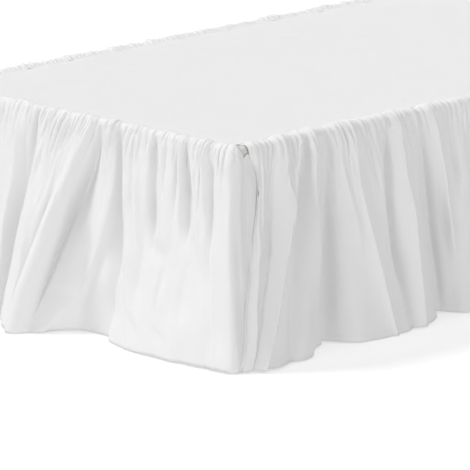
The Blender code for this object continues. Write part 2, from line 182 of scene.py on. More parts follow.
def make_weave_group():
    """Plain weave: sine along one thread times sine along the other, with uneven threads.

    Height is 0 to 1. Tone is a slow drift of colour between threads, round 0.5.
    """
    group = bpy.data.node_groups.new("plain weave", "ShaderNodeTree")
    group.interface.new_socket("Place", in_out="INPUT", socket_type="NodeSocketVector")
    group.interface.new_socket("Thread", in_out="INPUT", socket_type="NodeSocketFloat")
    group.interface.new_socket("Height", in_out="OUTPUT", socket_type="NodeSocketFloat")
    group.interface.new_socket("Tone", in_out="OUTPUT", socket_type="NodeSocketFloat")
    start = group.nodes.new("NodeGroupInput")
    end = group.nodes.new("NodeGroupOutput")
    parts = group.nodes.new("ShaderNodeSeparateXYZ")
    group.links.new(start.outputs["Place"], parts.inputs[0])
    turns = add_maths(group, "DIVIDE", math.pi, start.outputs["Thread"])
    slub = group.nodes.new("ShaderNodeTexNoise")
    set_inputs(slub, SLUB_NOISE)
    group.links.new(start.outputs["Place"], slub.inputs["Vector"])
    waver = add_maths(group, "MULTIPLY", slub.outputs["Fac"], THREAD_WAVER)
    waves = []
    for axis in ("X", "Y"):
        phase = add_maths(group, "MULTIPLY", parts.outputs[axis], turns)
        shifted = add_maths(group, "ADD", phase, waver)
        waves.append(add_maths(group, "SINE", shifted))
    product = add_maths(group, "MULTIPLY", waves[0], waves[1])
    half = add_maths(group, "MULTIPLY", product, 0.5)
    group.links.new(add_maths(group, "ADD", half, 0.5), end.inputs["Height"])
    group.links.new(slub.outputs["Fac"], end.inputs["Tone"])
    return group


weave_group = make_weave_group()


def place_weave(tree, place, thread):
    """The weave group in a material, read at a place in metres."""
    node = tree.nodes.new("ShaderNodeGroup")
    node.node_tree = weave_group
    node.inputs["Thread"].default_value = thread
    tree.links.new(place, node.inputs["Place"])
    return node


def toned_colour(tree, factor, low, high):
    """Mix two close colours by a factor that changes over the surface."""
    mix = tree.nodes.new("ShaderNodeMix")
    mix.data_type = "RGBA"
    mix.inputs["A"].default_value = low
    mix.inputs["B"].default_value = high
    tree.links.new(factor, mix.inputs["Factor"])
    return mix.outputs["Result"]


def darker(colour, share):
    """A colour with its red, green and blue brought down to a share."""
    return tuple(share * value for value in colour[:3]) + (1.0,)


def add_bump(tree, height, settings):
    """Relief from a height, on the shader's normal."""
    bump = tree.nodes.new("ShaderNodeBump")
    set_inputs(bump, settings)
    tree.links.new(height, bump.inputs["Height"])
    tree.links.new(bump.outputs["Normal"], tree.nodes["Principled BSDF"].inputs["Normal"])


def make_cover_material():
    """Light grey upholstery: a coarse plain weave on the piece's own UV map."""
    material = new_material("base cover", COVER_FINISH)
    tree = material.node_tree
    place = tree.nodes.new("ShaderNodeUVMap").outputs["UV"]
    weave = place_weave(tree, place, BASE_THREAD)
    fleck = add_maths(tree, "ADD",
                      add_maths(tree, "MULTIPLY", weave.outputs["Height"], FLECK_BY_WEAVE),
                      add_maths(tree, "MULTIPLY", weave.outputs["Tone"], FLECK_BY_TONE))
    colour = toned_colour(tree, fleck, darker(BASE_GREY, COVER_DARKER), BASE_GREY)
    tree.links.new(colour, tree.nodes["Principled BSDF"].inputs["Base Color"])
    add_bump(tree, weave.outputs["Height"], COVER_BUMP)
    return material


def grid_faces(rows, columns, closed=False):
    """Quads of a grid of points stored row by row. A closed grid joins its last column to its first."""
    index = np.arange(rows * columns).reshape(rows, columns)
    if closed:
        index = np.concatenate([index, index[:, :1]], axis=1)
    return np.stack([index[:-1, :-1], index[1:, :-1], index[1:, 1:], index[:-1, 1:]],
                    axis=-1).reshape(-1, 4)


def mesh_from_arrays(name, points, faces, uv):
    """A smooth mesh from point, quad and per-point UV arrays."""
    mesh = bpy.data.meshes.new(name)
    mesh.vertices.add(len(points))
    mesh.vertices.foreach_set("co", np.asarray(points, np.float32).ravel())
    mesh.loops.add(faces.size)
    mesh.loops.foreach_set("vertex_index", faces.ravel().astype(np.int32))
    mesh.polygons.add(len(faces))
    mesh.polygons.foreach_set("loop_start", np.arange(0, faces.size, 4, dtype=np.int32))
    mesh.update(calc_edges=True)
    layer = mesh.uv_layers.new(name="cloth")
    layer.data.foreach_set("uv", np.asarray(uv, np.float32)[faces.ravel()].ravel())
    mesh.shade_smooth()
    mesh.validate()
    return mesh


def add_piece(name, mesh, material, node):
    """Link a finished mesh as a piece that rides on the frame and stands for a CAD node."""
    piece = bpy.data.objects.new(name, mesh)
    bpy.context.scene.collection.objects.link(piece)
    mesh.materials.append(material)
    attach(piece, "root")
    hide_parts(node)
    return piece


def rounded_rectangle(half_across, half_along, radius, steps):
    """Plan line of a rectangle with round corners, each a quarter turn about its own middle.

    Gives x, y, outward x and outward y of each point, and the run along the line up to it.
    """
    rows = []
    for corner, (side_x, side_y) in enumerate(((1, -1), (1, 1), (-1, 1), (-1, -1))):
        angles = math.radians(-90.0 + 90.0 * corner) + np.linspace(0.0, math.pi / 2, steps)
        out = np.stack([np.cos(angles), np.sin(angles)], axis=1)
        middle = np.array([side_x * (half_across - radius), side_y * (half_along - radius)])
        rows.append(np.concatenate([middle + out * radius, out], axis=1))
    line = np.concatenate(rows)
    step = np.linalg.norm(np.diff(line[:, :2], axis=0), axis=1)
    return line, np.concatenate([[0.0], np.cumsum(step)])


def make_bed_base():
    """Carry a profile of the side, with its piping, round the base and close it above and below."""
    half = (base_high - base_low) / 2
    middle = (base_high + base_low) / 2
    top, bottom = base_high[2], base_low[2]
    r = BASE_EDGE_RADIUS
    turn = np.linspace(0.0, math.pi / 2, BASE_EDGE_POINTS)
    pipe = np.linspace(-PIPING_TURN, PIPING_TURN, PIPING_POINTS)
    top_edge = np.stack([-r + r * np.sin(turn), top - r + r * np.cos(turn)], axis=1)
    side = np.array([(0.0, top - 3 * r), (0.0, (top + bottom) / 2), (0.0, bottom + 2 * PIPING_HEIGHT)])
    seam = np.array([(-BASE_SEAM_DEPTH, bottom + PIPING_HEIGHT + PIPING_RADIUS)])
    piping = np.stack([-BASE_SEAM_DEPTH + PIPING_RADIUS * np.cos(pipe),
                       bottom + PIPING_HEIGHT - PIPING_RADIUS * np.sin(pipe)], axis=1)
    under_seam = np.array([(-BASE_SEAM_DEPTH, bottom + PIPING_HEIGHT - PIPING_RADIUS)])
    low_edge = np.stack([-r / 2 + r / 2 * np.cos(turn), bottom + r / 2 - r / 2 * np.sin(turn)], axis=1)
    profile = np.concatenate([top_edge, side, seam, piping, under_seam, low_edge])
    line, run = rounded_rectangle(half[0], half[1], r, BASE_CORNER_POINTS)
    points = np.zeros((len(profile), len(line), 3))
    points[..., :2] = line[None, :, :2] + profile[:, None, :1] * line[None, :, 2:4] + middle[:2]
    points[..., 2] = profile[:, None, 1]
    down = np.concatenate([[0.0], np.cumsum(np.linalg.norm(np.diff(profile, axis=0), axis=1))])
    uv = np.stack(np.broadcast_arrays(run[None, :], down[:, None]), axis=-1).reshape(-1, 2)
    rows, columns = points.shape[:2]
    faces = grid_faces(rows, columns, closed=True)
    mesh = mesh_from_arrays("base_box", points.reshape(-1, 3), faces, uv)
    cells = bmesh.new()
    cells.from_mesh(mesh)
    cells.verts.ensure_lookup_table()
    layer = cells.loops.layers.uv.active
    for ring in (range(columns), range((rows - 1) * columns, rows * columns)):
        lid = cells.faces.new([cells.verts[i] for i in ring])
        lid.smooth = False
        for loop in lid.loops:
            loop[layer].uv = loop.vert.co.xy
    bmesh.ops.recalc_face_normals(cells, faces=cells.faces)
    cells.to_mesh(mesh)
    cells.free()
    add_piece("base_box", mesh, make_cover_material(), "bed_base")


make_bed_base()

# Legs: four turned beech legs, screwed into the frame under the base a little in from its corners.
# Each is a straight round leg with a small chamfer at its foot, in a satin lacquer.
LEG_CHAMFER = 0.003
LEG_CORE = 0.0005
LEG_RING_ABOVE_FOOT = 0.1
LEG_RING_BELOW_TOP = 0.001
LEG_POINTS_ROUND = 48
LEG_SHARP_ANGLE = math.radians(40.0)
BEECH_LIGHT = (0.50, 0.34, 0.20, 1.0)
BEECH_DARK = (0.36, 0.23, 0.13, 1.0)
BEECH_FINISH = {"Roughness": 0.42}
BEECH_BUMP = {"Strength": 0.15, "Distance": 0.0004}
GRAIN_STRETCH = (90.0, 90.0, 6.0)
GRAIN_NOISE = {"Scale": 1.0, "Detail": 4.0, "Distortion": 0.6}


def make_beech_material():
    """Beech: noise stretched up the leg, so that the grain runs along it."""
    material = new_material("lacquered beech", BEECH_FINISH)
    tree = material.node_tree
    place = tree.nodes.new("ShaderNodeTexCoord").outputs["Object"]
    stretch = tree.nodes.new("ShaderNodeMapping")
    stretch.inputs["Scale"].default_value = GRAIN_STRETCH
    tree.links.new(place, stretch.inputs["Vector"])
    grain = tree.nodes.new("ShaderNodeTexNoise")
    set_inputs(grain, GRAIN_NOISE)
    tree.links.new(stretch.outputs["Vector"], grain.inputs["Vector"])
    colour = toned_colour(tree, grain.outputs["Fac"], BEECH_DARK, BEECH_LIGHT)
    tree.links.new(colour, tree.nodes["Principled BSDF"].inputs["Base Color"])
    add_bump(tree, grain.outputs["Fac"], BEECH_BUMP)
    return material


beech = make_beech_material()


def make_leg(node):
    """Turn the leg's profile round its middle: flat foot, chamfer, straight shaft, flat top.

    One small face fills the core at either end.
    """
    low, high = (np.array(corner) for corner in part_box(node))
    middle = (low + high) / 2
    radius = (high[0] - low[0]) / 2
    c = LEG_CHAMFER
    profile = np.array([(LEG_CORE, low[2]), (radius - c, low[2]), (radius, low[2] + c),
                        (radius, low[2] + LEG_RING_ABOVE_FOOT), (radius, high[2] - LEG_RING_BELOW_TOP),
                        (radius, high[2]), (LEG_CORE, high[2])])
    angle = np.linspace(0.0, 2 * math.pi, LEG_POINTS_ROUND, endpoint=False)
    points = np.zeros((len(profile), LEG_POINTS_ROUND, 3))
    points[..., 0] = middle[0] + profile[:, :1] * np.cos(angle)
    points[..., 1] = middle[1] + profile[:, :1] * np.sin(angle)
    points[..., 2] = profile[:, 1:]
    uv = np.stack(np.broadcast_arrays(angle * radius, profile[:, 1:]), axis=-1).reshape(-1, 2)
    faces = grid_faces(len(profile), LEG_POINTS_ROUND, closed=True)
    mesh = mesh_from_arrays("turned_" + node, points.reshape(-1, 3), faces, uv)
    cells = bmesh.new()
    cells.from_mesh(mesh)
    bmesh.ops.holes_fill(cells, edges=cells.edges, sides=LEG_POINTS_ROUND)
    bmesh.ops.recalc_face_normals(cells, faces=cells.faces)
    cells.to_mesh(mesh)
    cells.free()
    mesh.set_sharp_from_angle(angle=LEG_SHARP_ANGLE)
    add_piece("turned_" + node, mesh, beech, node)


for end in ("foot", "head"):
    for side in ("left", "right"):
        make_leg(f"leg_{end}_{side}")

# Deck: the flat cotton panel that lies on the base under the mattress and holds the skirt in
# place. It is one cut of plain white cotton, sewn to the gathered panels along its edges.
CLOTH = 0.0008
TOUCH_GAP = 0.0003
SEAM_LAP = 0.003
SEAM_ROLL = 0.0009
SEAM_ROLL_WIDTH = 0.008
DECK_STEP = 0.0065
DECK_WAVE = 0.0032
DECK_WAVE_MIDDLE = 1.5
DECK_EDGE_FADE = 0.03
DECK_UV_START = 1.0
DECK_WAVES = (
    # share, slant of x, slant of y, pitch across, pitch along, draw
    (1.0, 0.0, 0.0, 0.24, 0.31, 3),
    (0.5, 0.4, 0.0, 0.10, 0.16, 4),
    (0.3, -0.6, 1.0, 0.030, 0.16, 5),
)
COTTON_WHITE = (0.77, 0.77, 0.77, 1.0)
COTTON_DARKER = 0.972
COTTON_THREAD = 0.00042
COTTON_FINISH = {"Roughness": 0.88, "Sheen Weight": 0.08, "Specular IOR Level": 0.25}
CRUMPLE_NOISE = {"Scale": 42.0, "Detail": 3.0, "Roughness": 0.55, "Distortion": 0.5}
COTTON_BUMP = {"Strength": 0.5, "Distance": 0.0010}
WEAVE_RELIEF = 0.10
CRUMPLE_RELIEF = 2.0
HEM_RELIEF = 0.25
HEM_DEPTH = 0.013
STITCH = 0.003
STITCH_HALF_WIDTH = 0.0006
STITCH_GAP_LEVEL = -0.2


def make_cotton_material():
    """White plain-woven cotton: the weave, soft crumples, and a stitched hem near UV height 0."""
    material = new_material("white cotton", COTTON_FINISH)
    tree = material.node_tree
    place = tree.nodes.new("ShaderNodeUVMap").outputs["UV"]
    weave = place_weave(tree, place, COTTON_THREAD)
    colour = toned_colour(tree, weave.outputs["Tone"], darker(COTTON_WHITE, COTTON_DARKER), COTTON_WHITE)
    tree.links.new(colour, tree.nodes["Principled BSDF"].inputs["Base Color"])

    crumple = tree.nodes.new("ShaderNodeTexNoise")
    set_inputs(crumple, CRUMPLE_NOISE)
    tree.links.new(place, crumple.inputs["Vector"])

    parts = tree.nodes.new("ShaderNodeSeparateXYZ")
    tree.links.new(place, parts.inputs[0])
    above = add_maths(tree, "SUBTRACT", parts.outputs["Y"], HEM_DEPTH)
    doubled = add_maths(tree, "LESS_THAN", above, 0.0)
    near_line = add_maths(tree, "LESS_THAN", add_maths(tree, "ABSOLUTE", above), STITCH_HALF_WIDTH)
    turns = add_maths(tree, "MULTIPLY", parts.outputs["X"], 2 * math.pi / STITCH)
    dash = add_maths(tree, "GREATER_THAN", add_maths(tree, "SINE", turns), STITCH_GAP_LEVEL)
    thread = add_maths(tree, "MULTIPLY", near_line, dash)

    height = add_maths(tree, "MULTIPLY", weave.outputs["Height"], WEAVE_RELIEF)
    crumpled = add_maths(tree, "MULTIPLY", crumple.outputs["Fac"], CRUMPLE_RELIEF)
    height = add_maths(tree, "ADD", height, crumpled)
    height = add_maths(tree, "ADD", height, add_maths(tree, "MULTIPLY", doubled, HEM_RELIEF))
    height = add_maths(tree, "SUBTRACT", height, add_maths(tree, "MULTIPLY", thread, HEM_RELIEF))
    add_bump(tree, height, COTTON_BUMP)
    return material


cotton = make_cotton_material()


def soft_noise(across, down, pitch_across, pitch_down, seed):
    """Smooth value noise, about -1 to 1: random values on a lattice, joined by smoothsteps."""
    x = np.asarray(across) / pitch_across
    y = np.asarray(down) / pitch_down
    x, y = np.broadcast_arrays(x - x.min(), y - y.min())
    values = np.random.default_rng(seed).uniform(-1, 1, (int(y.max()) + 2, int(x.max()) + 2))
    left, upper = x.astype(int), y.astype(int)
    fx, fy = x - left, y - upper
    fx = fx * fx * (3 - 2 * fx)
    fy = fy * fy * (3 - 2 * fy)
    top = values[upper, left] * (1 - fx) + values[upper, left + 1] * fx
    low = values[upper + 1, left] * (1 - fx) + values[upper + 1, left + 1] * fx
    return top * (1 - fy) + low * fy


def finish_cloth(name, points, uv, node, hem_row=None):
    """Turn a grid of middle points into cloth of its own thickness, and stand it for its node.

    The border is a cut edge, so it is shaded sharp, but for a hem row, which is folded round.
    """
    rows, columns = points.shape[:2]
    faces = grid_faces(rows, columns)
    mesh = mesh_from_arrays(name, points.reshape(-1, 3), faces, uv.reshape(-1, 2))
    ends = np.zeros(2 * len(mesh.edges), np.int32)
    mesh.edges.foreach_get("vertices", ends)
    row, column = np.divmod(ends.reshape(-1, 2), columns)
    sharp = np.all(column == 0, axis=1) | np.all(column == columns - 1, axis=1)
    for border in (0, rows - 1):
        if border != hem_row:
            sharp |= np.all(row == border, axis=1)
    mesh.attributes.new("sharp_edge", "BOOLEAN", "EDGE").data.foreach_set("value", sharp)
    piece = add_piece(name, mesh, cotton, node)
    body = piece.modifiers.new("cloth thickness", "SOLIDIFY")
    body.thickness = CLOTH
    body.offset = 0.0
    return piece


def make_deck():
    """The deck lies on the base, with slow waves and a low roll where its seam is turned under.

    Height is the base top, the gap, half the cloth, the sum of the waves (which fade to nothing
    at the seam) and roll * exp(-(distance to the edge / width)^2). The UV starts clear of the hem.
    """
    low, high = (np.array(corner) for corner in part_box("deck_panel"))
    low = low - np.array((SEAM_LAP, SEAM_LAP, 0.0))
    high = high + np.array((SEAM_LAP, 0.0, 0.0))
    x = np.linspace(low[0], high[0], int((high[0] - low[0]) / DECK_STEP) + 1)
    y = np.linspace(low[1], high[1], int((high[1] - low[1]) / DECK_STEP) + 1)
    x, y = np.meshgrid(x, y)
    wave = 0.0
    for share, slant_x, slant_y, pitch_across, pitch_along, draw in DECK_WAVES:
        wave = wave + share * soft_noise(x + slant_x * y, y + slant_y * x, pitch_across, pitch_along, draw)
    edge = np.minimum(np.minimum(x - low[0], high[0] - x), y - low[1])
    roll = SEAM_ROLL * np.exp(-((edge / SEAM_ROLL_WIDTH) ** 2))
    lie = base_high[2] + TOUCH_GAP + CLOTH / 2
    lifted = DECK_WAVE * (wave + DECK_WAVE_MIDDLE) / (2 * DECK_WAVE_MIDDLE)
    z = lie + lifted * np.clip(edge / DECK_EDGE_FADE, 0, 1) + roll
    points = np.stack([x, y, z], axis=-1)[::-1]
    uv = np.stack([x, y - low[1] + DECK_UV_START], axis=-1)[::-1]
    deck = finish_cloth("deck_cloth", points, uv, "deck_panel")


make_deck()

# Foot panel: a strip of white cotton half as long again as its seam, drawn up on a thread and
# sewn to the deck's foot edge. It is hemmed below, and a loose flap turns each corner.
FOOT_SEAM_INSET = 0.012
CAD_CLOTH = 0.002
EDGE_CLEARANCE = 0.002
GUIDE_SOFTENING = 0.007
SOFTENING_STEPS = 4
CORNER_ROWS = 7
CORNER_STRETCH = 0.12
HEM_HEIGHT = 0.0008
GATHER_STAND = 0.0020
STAND_RUN = 0.015
ROLL_SHARE = 0.52
ROLL_SPAN = 0.045
HOLLOW_CLEARANCE = 0.004
# Fades: where each starts and how wide it is
LEVEL_NORMALS = (0.35, 0.45)
FLAP_PRESSED = (-0.012, 0.024)
END_PRESSED = (-0.004, 0.018)

# Columns and rows of the cloth's grid
IN_VIEW_END = 0.665
NEAR_STEP = 0.00105
FOOT_FAR_STEP = 0.0022
FOOT_ROWS = 57
FINE_SHARES = 400

# How far the top edge of the loose flap hangs below the seam line, by its place round the corner
FLAP_DROP = (
    # seam, drop
    (-0.060, 0.046),
    (-0.046, 0.038),
    (-0.034, 0.027),
    (-0.024, 0.026),
    (-0.014, 0.032),
    (-0.006, 0.018),
    (0.001, 0.006),
    (0.014, 0.000),
)

# Heights of the rows: close together at the puckers and at the hem
ROW_STEPS = (
    # share of the fall, step as a share of the widest
    (0.00, 0.20),
    (0.10, 0.25),
    (0.25, 0.70),
    (0.75, 1.00),
    (0.90, 0.60),
    (1.00, 0.55),
)

# The cloth's own lines, from the front corner: seam = where one leaves the seam, along and out =
# where it meets the floor, lift = how far its hem hangs clear. A place under zero lies round the
# corner.
FOOT_GUIDES = (
    # seam, along, out, lift
    (-0.060, -0.050, -0.012, 0.001),
    (-0.030, -0.074, 0.018, 0.001),
    (-0.012, -0.084, 0.050, 0.001),
    (0.006, -0.085, 0.078, 0.001),
    (0.020, -0.080, 0.097, 0.003),
    (0.036, -0.060, 0.101, 0.003),
    (0.060, -0.035, 0.104, 0.003),
    (0.105, -0.005, 0.106, 0.003),
    (0.135, 0.035, 0.110, 0.003),
    (0.205, 0.100, 0.112, 0.001),
    (0.225, 0.130, 0.112, 0.003),
    (0.280, 0.200, 0.110, 0.000),
    (0.315, 0.245, 0.100, 0.000),
    (0.340, 0.310, 0.080, 0.000),
    (0.360, 0.360, 0.064, 0.001),
    (0.385, 0.400, 0.068, 0.003),
    (0.405, 0.432, 0.115, 0.003),
    (0.430, 0.448, 0.160, 0.001),
    (0.455, 0.485, 0.182, 0.000),
    (0.520, 0.530, 0.165, 0.003),
    (0.570, 0.570, 0.125, 0.002),
    (0.610, 0.610, 0.095, 0.000),
    (0.650, 0.650, 0.100, 0.002),
)

# Folds: the crest's or hollow's place along the seam at the top, half way and at the hem, its half
# width toward the front corner (near) and away from it (far), and its height at those levels.
# It fades in at "from" and out at "to", as shares of the fall. A "from" of -1.0 and a "to" of 2.0
# lie past the cloth, so that nothing fades there.
FOLD_POWER = 1.7
FOLD_FADE_IN = 0.12
FOLD_FADE_OUT = 0.20
WHOLE_FALL = (-1.0, 2.0)
FOOT_FOLDS = (
    # top, middle, hem, near, far, at top, half way, at hem, from, to
    (-0.020, -0.022, -0.024, 0.010, 0.012, 0.000, -0.007, -0.003, 0.03, 2.0),
    (-0.004, 0.000, -0.020, 0.006, 0.006, 0.003, 0.003, 0.000, -1.0, 2.0),
    (0.006, 0.018, 0.012, 0.009, 0.020, 0.010, 0.018, 0.005, -1.0, 2.0),
    (0.064, 0.078, 0.078, 0.008, 0.010, -0.008, -0.009, 0.000, -1.0, 0.35),
    (0.060, 0.061, 0.062, 0.007, 0.007, 0.000, 0.002, 0.002, 0.40, 2.0),
    (0.090, 0.092, 0.095, 0.010, 0.012, 0.004, 0.003, 0.000, -1.0, 0.45),
    (0.122, 0.108, 0.100, 0.008, 0.007, 0.006, 0.009, 0.001, -1.0, 0.34),
    (0.135, 0.142, 0.142, 0.008, 0.013, -0.008, -0.016, 0.000, -1.0, 0.34),
    (0.150, 0.161, 0.165, 0.007, 0.007, 0.005, 0.006, 0.000, -1.0, 0.30),
    (0.164, 0.179, 0.180, 0.005, 0.008, -0.006, -0.006, 0.000, -1.0, 0.24),
    (0.207, 0.203, 0.200, 0.018, 0.008, 0.005, 0.010, 0.001, -1.0, 0.34),
    (0.229, 0.239, 0.230, 0.010, 0.014, -0.008, -0.022, 0.000, -1.0, 0.37),
    (0.268, 0.262, 0.262, 0.012, 0.012, 0.000, 0.002, 0.002, 0.40, 2.0),
    (0.282, 0.275, 0.270, 0.008, 0.006, 0.005, 0.007, 0.000, -1.0, 0.34),
    (0.310, 0.300, 0.292, 0.014, 0.010, 0.004, 0.009, 0.002, -1.0, 2.0),
    (0.334, 0.329, 0.345, 0.008, 0.015, -0.010, -0.027, -0.016, -1.0, 2.0),
    (0.346, 0.354, 0.420, 0.008, 0.026, 0.006, 0.012, 0.010, -1.0, 2.0),
    (0.394, 0.413, 0.432, 0.014, 0.013, -0.013, -0.040, -0.020, -1.0, 2.0),
    (0.440, 0.450, 0.466, 0.026, 0.010, 0.003, 0.018, 0.006, -1.0, 2.0),
    (0.455, 0.460, 0.472, 0.010, 0.004, 0.000, 0.006, 0.002, 0.05, 2.0),
    (0.478, 0.482, 0.490, 0.010, 0.010, -0.004, -0.008, 0.000, -1.0, 2.0),
    (0.565, 0.525, 0.480, 0.010, 0.006, 0.004, 0.012, 0.003, -1.0, 0.85),
    (0.582, 0.598, 0.610, 0.014, 0.014, -0.006, -0.020, -0.010, -1.0, 2.0),
    (0.636, 0.624, 0.630, 0.012, 0.016, 0.006, 0.014, 0.008, -1.0, 2.0),
)

# Creases that run across the fall: start, bend and end as distance along the face and height
# above the floor, half width, and height (under zero for a trough).
CREASE_POINTS = 25
CREASE_ENDS = (0.06, 0.94)
CREASE_TAPER = 0.7
FOOT_CREASES = (
    # along, up, along, up, along, up, width, height
    (0.350, 0.292, 0.330, 0.268, 0.300, 0.266, 0.0045, 0.0040),
    (0.240, 0.080, 0.215, 0.055, 0.178, 0.031, 0.0060, -0.0048),
    (0.150, 0.062, 0.135, 0.045, 0.101, 0.033, 0.0060, -0.0044),
    (0.165, 0.180, 0.150, 0.140, 0.155, 0.100, 0.0080, 0.0036),
    (0.300, 0.150, 0.285, 0.110, 0.290, 0.070, 0.0090, 0.0040),
    (0.205, 0.225, 0.170, 0.190, 0.135, 0.212, 0.0120, -0.0070),
    (0.224, 0.250, 0.213, 0.180, 0.216, 0.110, 0.0110, -0.0070),
    (0.148, 0.190, 0.138, 0.150, 0.150, 0.090, 0.0090, -0.0046),
    (0.080, 0.200, 0.088, 0.130, 0.070, 0.070, 0.0110, -0.0050),
    (0.460, 0.100, 0.420, 0.060, 0.370, 0.085, 0.0080, -0.0050),
)

# Puckers below the seam, in four sizes. Spacing, height and reach are drawn for each crest, as
# shares of the size's own. A pucker rises over its pitch, and leans and slants below the seam.
GATHERS = (
    # pitch, reach, depth
    (0.0080, 0.021, 0.0092),
    (0.0140, 0.044, 0.0138),
    (0.0250, 0.085, 0.0090),
    (0.0460, 0.180, 0.0050),
)
CREST_SPACING = (0.55, 1.45)
CREST_HEIGHT = (0.35, 1.15)
CREST_REACH = (0.5, 1.7)
CREST_POWER = 0.7
RUN_OUT_POWER = 1.3
CRESTS_BEFORE = 3
SPARE_CRESTS = 8
PUCKER_LEAN = 0.6
LEAN_MOST = 1.5
LEAN_PITCHES = 9
LEAN_REACHES = 3
LEAN_DRAW = 10
PUCKER_SLANT = 0.25

# Soft waves all over the hanging cloth, which fade in below the seam
CLOTH_WAVES = (
    # depth, pitch along, pitch down, slant, fades in from, over, draw
    (0.0046, 0.060, 0.120, -0.2, 0.06, 0.12, 3),
    (0.0028, 0.030, 0.055, 0.0, 0.02, 0.08, 1),
    (0.0007, 0.013, 0.026, 0.3, 0.02, 0.08, 2),
)

# Cloth out of view: folds as wide and as deep as those in view, at uneven places
FAR_FOLD_PITCH = (0.050, 0.105)
FAR_CREST_REACH = (0.085, 0.122)
FAR_HOLLOW_REACH = (0.040, 0.080)
FAR_FOLD_DEPTH = (0.007, 0.015)
FAR_FOLD_WIDTH = (0.012, 0.020)
FAR_TOP_SHARE = 0.3
FAR_HEM_SHARE = 0.4
FAR_LIFT = 0.002
FOOT_FAR_DRAW = 11
FOOT_DRAW = 51


def far_cloth(start, end, seed):
    """Guide and fold rows for a stretch that is out of view: crests and hollows by turns.

    Pitch, reach, depth and width of each are drawn evenly between their limits.
    """
    draw = np.random.default_rng(seed)
    guides = []
    folds = []
    place = start
    crest = False
    while True:
        place += draw.uniform(*FAR_FOLD_PITCH)
        if place > end:
            break
        reach = draw.uniform(*(FAR_CREST_REACH if crest else FAR_HOLLOW_REACH))
        depth = draw.uniform(*FAR_FOLD_DEPTH) * (1 if crest else -1)
        width = draw.uniform(*FAR_FOLD_WIDTH)
        guides.append((place, place, reach, FAR_LIFT if crest else 0.0))
        folds.append((place, place, place, width, width,
                      FAR_TOP_SHARE * depth, depth, FAR_HEM_SHARE * depth, *WHOLE_FALL))
        crest = not crest
    return guides, folds


def mirrored_corner(guides, length, count):
    """The first guide rows again, turned round for the panel's other end."""
    return [(length - seam, length - along, out, lift)
            for seam, along, out, lift in reversed(guides[:count])]


def read_guides(guides, places):
    """Hem place, reach and lift at each seam place.

    Straight between the rows, then softened by a mean with weights exp(-(distance / softening)^2).
    """
    rows = np.array(guides)
    fine = np.arange(rows[0, 0], rows[-1, 0], GUIDE_SOFTENING / SOFTENING_STEPS)
    reach = 2 * SOFTENING_STEPS
    weights = np.exp(-((np.arange(-reach, reach + 1) / SOFTENING_STEPS) ** 2))
    weights /= weights.sum()
    read = []
    for column in (1, 2, 3):
        line = np.interp(fine, rows[:, 0], rows[:, column])
        start = 2 * line[0] - line[reach:0:-1]
        end = 2 * line[-1] - line[-2 : -2 - reach : -1]
        soft = np.convolve(np.concatenate([start, line, end]), weights, mode="valid")
        read.append(np.interp(places, fine, soft))
    return read


def edge_profile(run):
    """Reach and height after a run over the base edge: flat, round the edge, then straight down.

    Over the first half radius of run the turn widens from cloth that lies to cloth that hangs clear.
    """
    hanging = BASE_EDGE_RADIUS + EDGE_CLEARANCE + CAD_CLOTH / 2
    lying = BASE_EDGE_RADIUS + TOUCH_GAP + CLOTH / 2
    quarter = hanging * math.pi / 2
    angle = np.clip(run / hanging, 0.0, math.pi / 2)
    radius = lying + (hanging - lying) * np.clip(run / hanging * 2, 0.0, 1.0)
    out = radius * np.sin(angle) + np.minimum(run, 0.0)
    up = radius * np.cos(angle) - np.maximum(run - quarter, 0.0)
    return out, up


def turn_corner(seam, out):
    """Plan place of a point at a reach from the rounding's centre line, for each seam place.

    Past the start of the base's upright rounded edge the line turns about its centre, and then
    runs straight on along the next face.
    """
    turn = BASE_EDGE_RADIUS + EDGE_CLEARANCE + CAD_CLOTH / 2
    past = BASE_EDGE_RADIUS - seam
    angle = np.clip(past / turn, 0.0, math.pi / 2)
    beyond = np.maximum(past - turn * math.pi / 2, 0.0)
    along = np.maximum(seam, BASE_EDGE_RADIUS) - out * np.sin(angle)
    return along, out * np.cos(angle) - BASE_EDGE_RADIUS - beyond


def three_point(share, top, middle, hem):
    """The parabola through the values at the top, half way and the hem."""
    return (top * (1 - 2 * share) * (1 - share) + 4 * middle * share * (1 - share)
            + hem * share * (2 * share - 1))


def fade(value, start, width):
    """Smooth step from 0 to 1 over a width that begins at start."""
    share = np.clip((value - start) / width, 0.0, 1.0)
    return share * share * (3 - 2 * share)


def fold_heights(folds, seam, fall):
    """Sum over the folds of height(fall) * exp(-(|seam - place(fall)| / width)^1.7)."""
    total = np.zeros((len(fall), len(seam)))
    for top, middle, hem, near, far, high_top, high_middle, high_hem, start, stop in folds:
        offset = seam[None, :] - three_point(fall, top, middle, hem)
        width = np.where(offset < 0, near, far)
        height = three_point(fall, high_top, high_middle, high_hem)
        height = height * fade(fall, start, FOLD_FADE_IN) * (1 - fade(fall, stop, FOLD_FADE_OUT))
        total += height * np.exp(-(np.abs(offset / width) ** FOLD_POWER))
    return total


